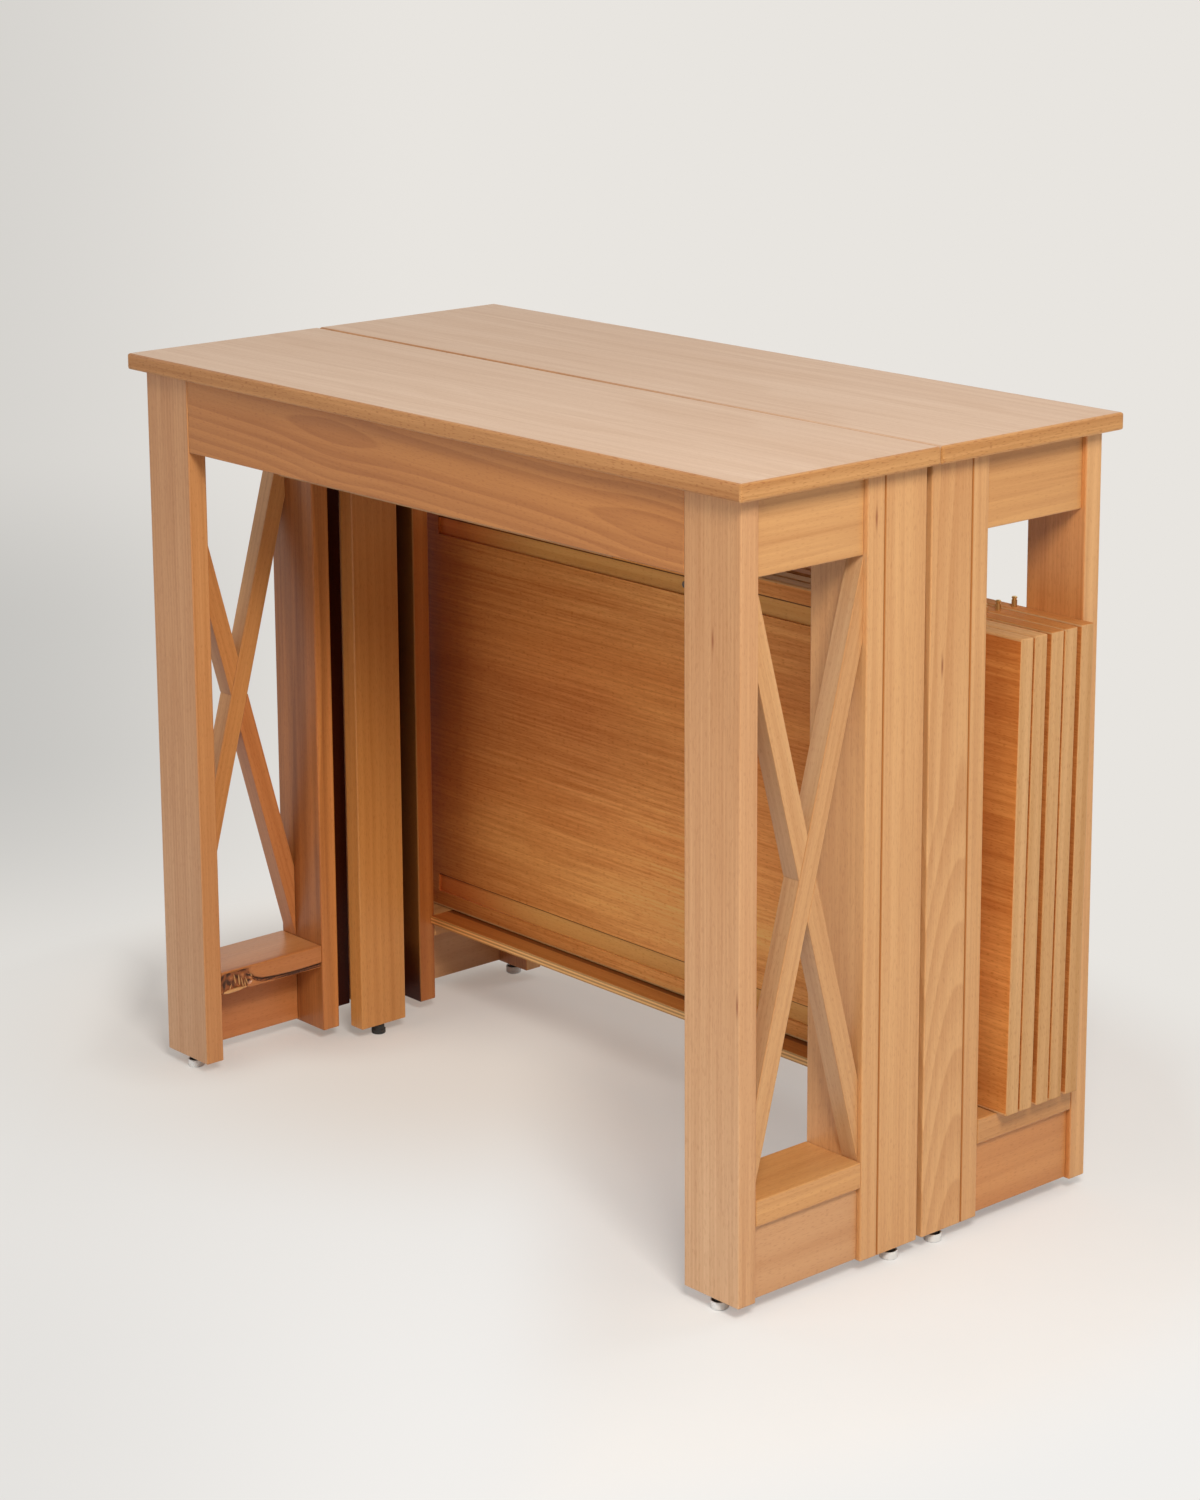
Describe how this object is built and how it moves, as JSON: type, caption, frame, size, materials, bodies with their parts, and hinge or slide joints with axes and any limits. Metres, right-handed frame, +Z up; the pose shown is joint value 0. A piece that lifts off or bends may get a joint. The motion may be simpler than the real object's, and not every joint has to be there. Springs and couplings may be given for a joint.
{
  "type": "extending transformer table",
  "caption": "Wooden console table whose two half frames pull apart on nested slides into a long dining table; loose leaves stand on edge in a rack inside the back half.",
  "frame": {"origin": "on the floor under the middle of the closed table", "axes": "+X along the closed table's long side to the right, +Y to the back half, +Z up"},
  "size_m": [0.9, 0.482, 0.754],
  "materials": {
    "beech": "satin clear coat on solid beech",
    "leaf_veneer": "satin beech veneer",
    "plywood": "bare plywood, light satin",
    "runner_wood": "waxed hardwood",
    "glide": "white moulded plastic"
  },
  "bodies": {
    "back_half": {"back_apron": "beech", "back_cheek_left": "beech", "back_cheek_right": "beech", "back_kick_left": "beech", "back_kick_right": "beech", "back_leg_left": "beech", "back_leg_right": "beech", "back_post_left": "beech", "back_post_right": "beech", "back_shelf_left": "beech", "back_shelf_right": "beech", "back_side_apron_left": "beech", "back_side_apron_right": "beech", "back_slide_frame": "runner_wood", "back_top": "beech", "foot_back_cheek_left": "glide", "foot_back_cheek_right": "glide", "foot_back_leg_left": "glide", "foot_back_leg_right": "glide", "leaf_ledge": "plywood"},
    "front_half": {"brace_full_left": "beech", "brace_full_right": "beech", "brace_lower_left": "beech", "brace_lower_right": "beech", "brace_upper_left": "beech", "brace_upper_right": "beech", "foot_front_cheek_left": "glide", "foot_front_cheek_right": "glide", "foot_front_leg_left": "glide", "foot_front_leg_right": "glide", "front_apron": "beech", "front_cheek_left": "beech", "front_cheek_right": "beech", "front_kick_left": "beech", "front_kick_right": "beech", "front_leg_left": "beech", "front_leg_right": "beech", "front_post_left": "beech", "front_post_right": "beech", "front_shelf_left": "beech", "front_shelf_right": "beech", "front_side_apron_left": "beech", "front_side_apron_right": "beech", "front_slide_frame": "runner_wood", "front_top": "beech"},
    "slide_stage_1": {"slide_frame_1": "runner_wood"},
    "slide_stage_2": {"slide_frame_2": "runner_wood"},
    "slide_stage_3": {"centre_post_left": "beech", "centre_post_right": "beech", "foot_centre_left": "glide", "foot_centre_right": "glide", "slide_frame_3": "runner_wood"},
    "slide_stage_4": {"slide_frame_4": "runner_wood"},
    "slide_stage_5": {"slide_frame_5": "runner_wood"},
    "slide_stage_6": {"slide_frame_6": "runner_wood"},
    "leaf_1": {"leaf_1": "leaf_veneer"},
    "leaf_2": {"leaf_2": "leaf_veneer"},
    "leaf_3": {"leaf_3": "leaf_veneer"},
    "leaf_4": {"leaf_4": "leaf_veneer"},
    "leaf_5": {"leaf_5": "leaf_veneer"}
  },
  "joints": [
    {"name": "extension", "type": "slide", "parent": "back_half", "child": "front_half", "axis": [0, -1, 0], "range_m": [0, 2.27]},
    {"name": "stage_1_slide", "type": "slide", "parent": "back_half", "child": "slide_stage_1", "axis": [0, -1, 0], "range_m": [0, 0.325]},
    {"name": "stage_2_slide", "type": "slide", "parent": "back_half", "child": "slide_stage_2", "axis": [0, -1, 0], "range_m": [0, 0.649]},
    {"name": "stage_3_slide", "type": "slide", "parent": "back_half", "child": "slide_stage_3", "axis": [0, -1, 0], "range_m": [0, 0.973]},
    {"name": "stage_4_slide", "type": "slide", "parent": "back_half", "child": "slide_stage_4", "axis": [0, -1, 0], "range_m": [0, 1.298]},
    {"name": "stage_5_slide", "type": "slide", "parent": "back_half", "child": "slide_stage_5", "axis": [0, -1, 0], "range_m": [0, 1.622]},
    {"name": "stage_6_slide", "type": "slide", "parent": "back_half", "child": "slide_stage_6", "axis": [0, -1, 0], "range_m": [0, 1.946]},
    {"name": "leaf_1_pull", "type": "slide", "parent": "back_half", "child": "leaf_1", "axis": [1, 0, 0], "range_m": [0, 0.9]},
    {"name": "leaf_2_pull", "type": "slide", "parent": "back_half", "child": "leaf_2", "axis": [1, 0, 0], "range_m": [0, 0.9]},
    {"name": "leaf_3_pull", "type": "slide", "parent": "back_half", "child": "leaf_3", "axis": [1, 0, 0], "range_m": [0, 0.9]},
    {"name": "leaf_4_pull", "type": "slide", "parent": "back_half", "child": "leaf_4", "axis": [1, 0, 0], "range_m": [0, 0.9]},
    {"name": "leaf_5_pull", "type": "slide", "parent": "back_half", "child": "leaf_5", "axis": [1, 0, 0], "range_m": [0, 0.9]}
  ],
  "couplings": [
    {"joint": "stage_1_slide", "follows": "extension", "ratio": 0.14286},
    {"joint": "stage_2_slide", "follows": "extension", "ratio": 0.28571},
    {"joint": "stage_3_slide", "follows": "extension", "ratio": 0.42857},
    {"joint": "stage_4_slide", "follows": "extension", "ratio": 0.57143},
    {"joint": "stage_5_slide", "follows": "extension", "ratio": 0.71429},
    {"joint": "stage_6_slide", "follows": "extension", "ratio": 0.85714}
  ]
}
